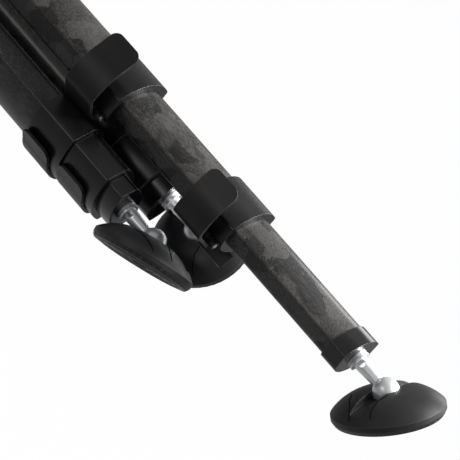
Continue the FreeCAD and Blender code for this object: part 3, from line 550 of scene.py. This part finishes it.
def floor_and_world(low):
    """A pale floor, low enough for a leg to spread downward, and a plain world around the tripod."""
    mesh = bpy.data.meshes.new("floor")
    board = bmesh.new()
    bmesh.ops.create_grid(board, x_segments=1, y_segments=1, size=FLOOR_HALF_WIDTH)
    bmesh.ops.translate(board, verts=board.verts, vec=(FLOOR_MIDDLE, 0.0, low - SPREAD_ROOM))
    board.to_mesh(mesh)
    board.free()
    floor = bpy.data.objects.new("floor", mesh)
    bpy.context.scene.collection.objects.link(floor)
    material = bpy.data.materials.new("floor paper")
    material.use_nodes = True
    tree = material.node_tree
    tree.nodes.remove(tree.nodes["Principled BSDF"])
    paper = add(tree, "ShaderNodeBsdfDiffuse", Color=(0.5, 0.5, 0.5, 1))
    catcher = add(tree, "ShaderNodeBsdfDiffuse", Color=(0.9, 0.9, 0.9, 1))
    white = add(tree, "ShaderNodeEmission", Color=(1, 1, 1, 1), Strength=1.0)
    shown = add(tree, "ShaderNodeMixShader", Fac=FLOOR_WHITENESS)
    link_all(tree, (catcher.outputs[0], shown.inputs[1]), (white.outputs[0], shown.inputs[2]))
    surface = tree.nodes["Material Output"].inputs["Surface"]
    white_to_the_eye(tree, shown.outputs[0], paper.outputs[0], surface)
    mesh.materials.append(material)

    world = bpy.data.worlds.new("studio")
    world.use_nodes = True
    bpy.context.scene.world = world
    tree = world.node_tree
    plain = tree.nodes["Background"]
    plain.inputs["Color"].default_value = WORLD_COLOUR
    plain.inputs["Strength"].default_value = WORLD_STRENGTH
    white = add(tree, "ShaderNodeBackground", Color=(1, 1, 1, 1), Strength=1.0)
    surroundings = tree.nodes["World Output"].inputs["Surface"]
    white_to_the_eye(tree, white.outputs[0], plain.outputs[0], surroundings)


def add_lamp(name, place, aim, width, height, power):
    """A rectangular lamp at a place, turned to its aim, with its size in metres and its power in watts."""
    lamp = bpy.data.lights.new(name, "AREA")
    lamp.shape = "RECTANGLE"
    lamp.size, lamp.size_y, lamp.energy = width, height, power
    holder = bpy.data.objects.new(name, lamp)
    bpy.context.scene.collection.objects.link(holder)
    toward = (Vector(aim) - Vector(place)).to_track_quat("-Z", "Y")
    holder.matrix_world = Matrix.Translation(place) @ toward.to_matrix().to_4x4()


# From here on, small pieces that the construction leaves plain. A leg's centre line from the tripod's axis:
LEG_RADIUS = 24.0 * MM
# Each foot: its ball along X in mm, then tilt, lean round the leg and spin on its own axis in degrees.
FEET = {"a": (803.8, 46.0, 10.6, 90.0), "b": (655.3, -72.0, 28.0, 0.0), "c": (655.3, -72.0, -9.0, 0.0)}


def turned_by(degrees, axis):
    return Matrix.Rotation(math.radians(degrees), 4, axis)


def foot_frame(leg):
    """A foot's ball, with X along the foot's own axis towards its sole."""
    along, tilt, lean, spin = FEET[leg]
    ball = turned_by(LEGS[leg], "X") @ Matrix.Translation((along * MM, 0, LEG_RADIUS))
    return ball @ turned_by(lean, "X") @ turned_by(tilt, "Y") @ turned_by(spin, "X")


def keep(shape, name, finish, body, smooth=True):
    """Turns the drawn shape into a piece of the object that moves with a body."""
    bmesh.ops.remove_doubles(shape, verts=shape.verts, dist=0.000001)
    bmesh.ops.recalc_face_normals(shape, faces=shape.faces)
    mesh = bpy.data.meshes.new(name)
    shape.to_mesh(mesh)
    shape.free()
    for face in mesh.polygons:
        face.use_smooth = smooth
    mesh.materials.append(finish)
    piece = bpy.data.objects.new(name, mesh)
    bpy.context.scene.collection.objects.link(piece)
    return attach(piece, body)


def add_ring(shape, place, along, radius, wire, sides=8, steps=72):
    """A ring round the X axis of a place, of a round section."""
    section = place @ Matrix.Translation((along, 0, radius)) @ turned_by(90, "X")
    made = bmesh.ops.create_circle(shape, segments=sides, radius=wire, matrix=section)
    loop = made["verts"] + list({edge for point in made["verts"] for edge in point.link_edges})
    axis = place.to_3x3() @ Vector((1, 0, 0))
    bmesh.ops.spin(
        shape, geom=loop, cent=place.translation, axis=axis, angle=math.tau, steps=steps, use_merge=True
    )


def add_bar(shape, place, radius, length, sides):
    """A bar along the X axis of a place, starting there."""
    middle = place @ Matrix.Translation((length / 2, 0, 0)) @ turned_by(90, "Y")
    bmesh.ops.create_cone(
        shape, cap_ends=True, segments=sides, radius1=radius, radius2=radius, depth=length, matrix=middle
    )


# The sole's relief in mm and degrees: rings under it, and lugs round its bevelled edge.
SOLE_RING_RADII = (6.0, 10.8, 15.6, 20.4, 25.0)
SOLE_RING_STATION = 14.25
SOLE_RING_WIRE = 0.75
LUG_COUNT = 44
LUG_STATION = 13.1
LUG_RADIUS = 29.75
LUG_LEAN = 32
LUG_SIDES = (1.7, 1.9, 1.0)
LUG_BEVEL = 0.25


def foot_tread(leg):
    """Raised rings under the sole and short lugs round its bevelled edge."""
    place = foot_frame(leg)
    shape = bmesh.new()
    for radius in SOLE_RING_RADII:
        add_ring(shape, place, SOLE_RING_STATION * MM, radius * MM, SOLE_RING_WIRE * MM)
    keep(shape, f"leg_{leg}_sole_rings", FINISHES["foot_rubber"], f"leg_{leg}_foot")
    shape = bmesh.new()
    for step in range(LUG_COUNT):
        lug = place @ turned_by(step * 360 / LUG_COUNT, "X")
        lug = lug @ Matrix.Translation((LUG_STATION * MM, 0, LUG_RADIUS * MM))
        lug = lug @ turned_by(LUG_LEAN, "Y") @ Matrix.Diagonal((*(side * MM for side in LUG_SIDES), 1))
        cube = bmesh.ops.create_cube(shape, size=1.0, matrix=lug)
        edges = list({edge for point in cube["verts"] for edge in point.link_edges})
        bmesh.ops.bevel(
            shape, geom=edges, offset=LUG_BEVEL * MM, affect="EDGES", segments=1, profile=0.5, material=-1
        )
    keep(shape, f"leg_{leg}_sole_lugs", FINISHES["foot_rubber"], f"leg_{leg}_foot", smooth=False)


# The two dark lines that paint the shade of the grooves on a foot's dome: distance from its axis in mm, and
# bearing round it in degrees.
DOME_LINES = (
    ((18.2, -55), (21.8, -24), (26.4, -11), (30.0, -5)),
    ((9.9, 44), (15.7, 22), (22.9, 17), (28.4, 19)),
)
DOME_LINE_BEARING = {"a": 0, "b": 121, "c": 118}
DOME_LINE_RADIUS = 0.3
DOME_LINE_SIDES = 8
DOME_LINE_STEPS = 8
# Where the search for the dome's surface starts, above the ball's centre.
ABOVE_DOME = 20


def dome_shade_lines(leg):
    """Fine raised lines that follow the rubber dome, nearly black and matt: painted shade of its grooves."""
    place = foot_frame(leg)
    pad = frame["nodes"][f"leg_{leg}_foot_pad"]
    corners = [pad.matrix_world @ corner.co for corner in pad.data.vertices]
    dome = BVHTree.FromPolygons(corners, [tuple(face.vertices) for face in pad.data.polygons])
    inward = place.to_3x3() @ Vector((1, 0, 0))
    shape = bmesh.new()
    for path in DOME_LINES:
        spots = []
        for (near, bearing), (far, next_bearing) in zip(path, path[1:]):
            for step in range(DOME_LINE_STEPS):
                share = step / DOME_LINE_STEPS
                reach = (near + (far - near) * share) * MM
                turn = math.radians(bearing + (next_bearing - bearing) * share + DOME_LINE_BEARING[leg])
                above = place @ Vector((-ABOVE_DOME * MM, reach * math.sin(turn), reach * math.cos(turn)))
                spots.append(dome.ray_cast(above, inward)[0])
        rings = []
        for spot, following in zip(spots, spots[1:]):
            along = (following - spot).to_track_quat("Z", "Y").to_matrix().to_4x4()
            made = bmesh.ops.create_circle(
                shape, segments=DOME_LINE_SIDES, radius=DOME_LINE_RADIUS * MM,
                matrix=Matrix.Translation(spot) @ along,
            )
            rings.append(list({edge for point in made["verts"] for edge in point.link_edges}))
        for ring, following in zip(rings, rings[1:]):
            bmesh.ops.bridge_loops(shape, edges=ring + following)
    bmesh.ops.holes_fill(shape, edges=shape.edges[:], sides=DOME_LINE_SIDES)
    keep(shape, f"leg_{leg}_dome_shade_lines", FINISHES["painted_groove_shade"], f"leg_{leg}_foot")


# The head stud in mm: its thread, and its core with the chamfered tip.
THREAD_PITCH = 25.4 / 16
THREAD_TURNS = 6
THREAD_STEPS = 32
THREAD_START = 0.9
THREAD_PROUD = 0.2
THREAD_WIRE = 0.48
STUD_CORE = 4.05
STUD_REACH = 11.2
STUD_LENGTH = 19.2
STUD_TIP_RADIUS = 3.6
STUD_TIP_LENGTH = 0.8
STUD_SIDES = 48


def threaded_stud():
    """The head stud with its 16 turns to the inch; it stands for the plain one."""
    core = STUD_CORE * MM
    tip_middle = -(STUD_REACH + STUD_TIP_LENGTH / 2) * MM
    shape = bmesh.new()
    add_bar(shape, Matrix.Translation((-STUD_REACH * MM, 0, 0)), core, STUD_LENGTH * MM, STUD_SIDES)
    bmesh.ops.create_cone(
        shape, cap_ends=True, segments=STUD_SIDES, radius1=core, radius2=STUD_TIP_RADIUS * MM,
        depth=STUD_TIP_LENGTH * MM, matrix=Matrix.Translation((tip_middle, 0, 0)) @ turned_by(-90, "Y"),
    )
    section = Matrix.Translation((-THREAD_START * MM, 0, core + THREAD_PROUD * MM))
    section = section @ turned_by(90, "X") @ turned_by(90, "Z")
    made = bmesh.ops.create_circle(shape, segments=3, radius=THREAD_WIRE * MM, matrix=section)
    loop = made["verts"] + list({edge for point in made["verts"] for edge in point.link_edges})
    bmesh.ops.spin(
        shape, geom=loop, cent=(0, 0, 0), axis=(-1, 0, 0), dvec=(-THREAD_PITCH * MM / THREAD_STEPS, 0, 0),
        angle=math.tau * THREAD_TURNS, steps=THREAD_STEPS * THREAD_TURNS,
    )
    stud = keep(shape, "threaded_head_stud", FINISHES["steel"], "leveller", smooth=False)
    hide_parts("head_stud")


# On the bubble level's face, in mm.
TARGET_RADIUS = 2.6
TARGET_WIRE = 0.16
BEZEL_RADIUS = 6.3
BEZEL_WIRE = 0.5
BUBBLE_RADIUS = 2.1
BUBBLE_FLATNESS = 0.16


def level_marks():
    """The target ring, the bezel and the bubble, on the level's outer face."""
    low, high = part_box("bubble_level")
    face = Matrix.Translation((low.x, (low.y + high.y) / 2, (low.z + high.z) / 2))
    shape = bmesh.new()
    add_ring(shape, face, 0.0, TARGET_RADIUS * MM, TARGET_WIRE * MM, sides=6, steps=48)
    keep(shape, "level_target_ring", FINISHES["lever_black"], "apex")
    shape = bmesh.new()
    add_ring(shape, face, 0.0, BEZEL_RADIUS * MM, BEZEL_WIRE * MM, steps=64)
    keep(shape, "level_bezel", FINISHES["satin_aluminium"], "apex")
    shape = bmesh.new()
    bmesh.ops.create_uvsphere(
        shape, u_segments=32, v_segments=16, radius=BUBBLE_RADIUS * MM,
        matrix=face @ Matrix.Diagonal((BUBBLE_FLATNESS, 1, 1, 1)),
    )
    keep(shape, "level_bubble", FINISHES["bubble"], "apex")


# A hinge bolt's station and distance from the tripod's axis, and its key sockets, in mm.
HINGE_STATION = 58
HINGE_RADIUS = 42
KEY_RADIUS = 2.9
KEY_EDGE = 0.25
KEY_DEPTH = 0.12


def bolt_sockets(leg):
    """The six-sided key sockets in both ends of a hinge bolt."""
    low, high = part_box("leg_a_hinge_bolt")
    for name, end, way in (("near", low.y, 1), ("far", high.y, -1)):
        shape = bmesh.new()
        spot = Matrix.Translation((HINGE_STATION * MM, end, HINGE_RADIUS * MM))
        place = turned_by(LEGS[leg], "X") @ spot @ turned_by(90, "X")
        bmesh.ops.create_circle(shape, cap_ends=True, segments=6, radius=KEY_RADIUS * MM, matrix=place)
        bmesh.ops.inset_region(
            shape, faces=shape.faces[:], thickness=KEY_EDGE * MM, depth=KEY_DEPTH * MM * -way
        )
        keep(shape, f"leg_{leg}_{name}_key_socket", FINISHES["cap_black"], "apex", smooth=False)


bpy.context.scene.view_settings.view_transform = "Standard"
set_camera()
floor_and_world(cad_box[0].z)
add_lamp("back softbox", (1.3, 0.9, 1.3), (0.6, 0.0, 0.0), 1.4, 1.0, 74.0)
add_lamp("far strip", (0.9, 1.6, 0.25), (0.6, 0.0, 0.0), 1.4, 0.5, 7.0)
add_lamp("front strip", (0.15, -1.4, 0.62), (0.62, 0.0, 0.0), 0.9, 0.16, 2.2)
dress_cad_nodes()
for leg in LEGS:
    foot_tread(leg)
    dome_shade_lines(leg)
    bolt_sockets(leg)
threaded_stud()
level_marks()
